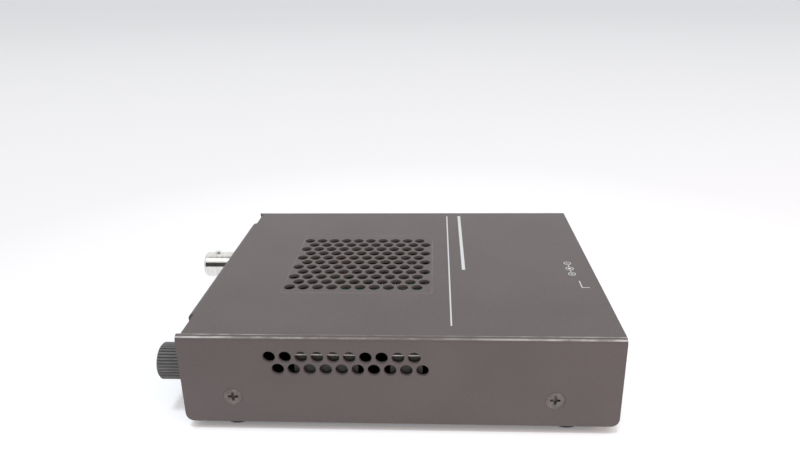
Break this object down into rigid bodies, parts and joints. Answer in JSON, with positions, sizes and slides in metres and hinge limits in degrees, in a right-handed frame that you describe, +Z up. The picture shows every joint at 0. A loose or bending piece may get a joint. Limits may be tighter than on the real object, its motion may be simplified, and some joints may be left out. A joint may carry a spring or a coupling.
{
  "type": "fibre media converter",
  "caption": "Desktop fibre media converter: folded, perforated steel case on rubber feet, with a slide-in module that has a coaxial jack, fibre ports and a thumbscrew.",
  "frame": {"origin": "on the desk, midway between the four feet", "axes": "+Z up; -Y out of the front, where the coaxial jack, fibre ports and thumbscrew are; +Y towards the power inlet; +X to the right seen from the front"},
  "size_m": [0.102, 0.1413, 0.0308],
  "materials": {
    "case_paint": "fine-textured powder coat, satin, worn to the steel at the folds",
    "zinc_plate": "zinc-plated sheet steel, clear passivated",
    "black_screw": "black oxide, light oil",
    "thumb_metal": "black nickel on a turned and knurled head",
    "nickel_shell": "bright nickel plate on turned brass",
    "tinned_metal": "tinned spring brass",
    "gold_contact": "gold flash",
    "can_aluminium": "drawn can, satin",
    "choke_winding": "enamelled copper wire on a ferrite ring",
    "board_green": "solder-resist on glass laminate",
    "black_plastic": "moulded, fine spark texture",
    "fibre_plastic": "moulded",
    "guide_plastic": "moulded nylon",
    "white_insulator": "turned fluoropolymer",
    "ceramic_sleeve": "ground zirconia",
    "lever_plastic": "moulded",
    "led_lens": "diffused epoxy lens, unlit",
    "can_sleeve": "shrunk film sleeve on an aluminium can",
    "orange_dip": "dipped epoxy",
    "amber_case": "moulded case with a lighter polarity band",
    "fuse_glass": "glass tube with plated end caps",
    "rubber_foot": "moulded rubber, self-adhesive"
  },
  "bodies": {
    "chassis": {"top_cover": "case_paint", "base_tray": "case_paint", "cover_screws": "black_screw", "tray_inserts": "zinc_plate", "foot_front_left": "rubber_foot", "foot_front_right": "rubber_foot", "foot_rear_left": "rubber_foot", "foot_rear_right": "rubber_foot", "card_guide_left": "guide_plastic", "card_guide_right": "guide_plastic", "thumbscrew_insert": "zinc_plate", "power_header": "black_plastic", "power_board": "board_green", "board_standoffs": "zinc_plate", "power_board_screws": "zinc_plate", "dc_jack": "black_plastic", "dc_jack_pin": "tinned_metal", "input_fuse": "fuse_glass", "fuse_clip_front": "tinned_metal", "fuse_clip_rear": "tinned_metal", "input_choke": "choke_winding", "reservoir_capacitor": "can_sleeve", "voltage_regulator": "black_plastic", "input_diode": "black_plastic"},
    "module": {"faceplate": "case_paint", "module_board": "board_green", "board_screws": "zinc_plate", "coax_housing": "black_plastic", "coax_jack": "nickel_shell", "coax_insulator": "white_insulator", "coax_contact": "gold_contact", "coax_washer": "nickel_shell", "coax_nut": "nickel_shell", "fibre_housing": "fibre_plastic", "fibre_sleeve_transmit": "ceramic_sleeve", "fibre_sleeve_receive": "ceramic_sleeve", "led_holder": "black_plastic", "status_led_1": "led_lens", "status_led_2": "led_lens", "status_led_3": "led_lens", "status_led_4": "led_lens", "switch_body": "black_plastic", "line_driver_chip": "black_plastic", "encoder_chip": "black_plastic", "isolation_transformer": "black_plastic", "isolated_supply": "black_plastic", "clock_oscillator": "can_aluminium", "tantalum_capacitor": "amber_case", "filter_capacitor_1": "can_aluminium", "filter_capacitor_2": "can_aluminium", "filter_capacitor_3": "can_aluminium", "surge_capacitor": "orange_dip", "module_socket": "black_plastic"},
    "thumbscrew": {"thumbscrew": "thumb_metal"},
    "switch_lever": {"switch_lever": "lever_plastic"}
  },
  "joints": [
    {"name": "module_slide", "type": "slide", "parent": "chassis", "child": "module", "axis": [0, -1, 0], "range_m": [0, 0.1]},
    {"name": "thumbscrew_turn", "type": "hinge", "parent": "module", "child": "thumbscrew", "pos_m": [0.041, -0.066, 0.0168], "axis": [0, -1, 0], "continuous": true},
    {"name": "switch_slide", "type": "slide", "parent": "module", "child": "switch_lever", "axis": [1, 0, 0], "range_m": [0, 0.002]}
  ]
}
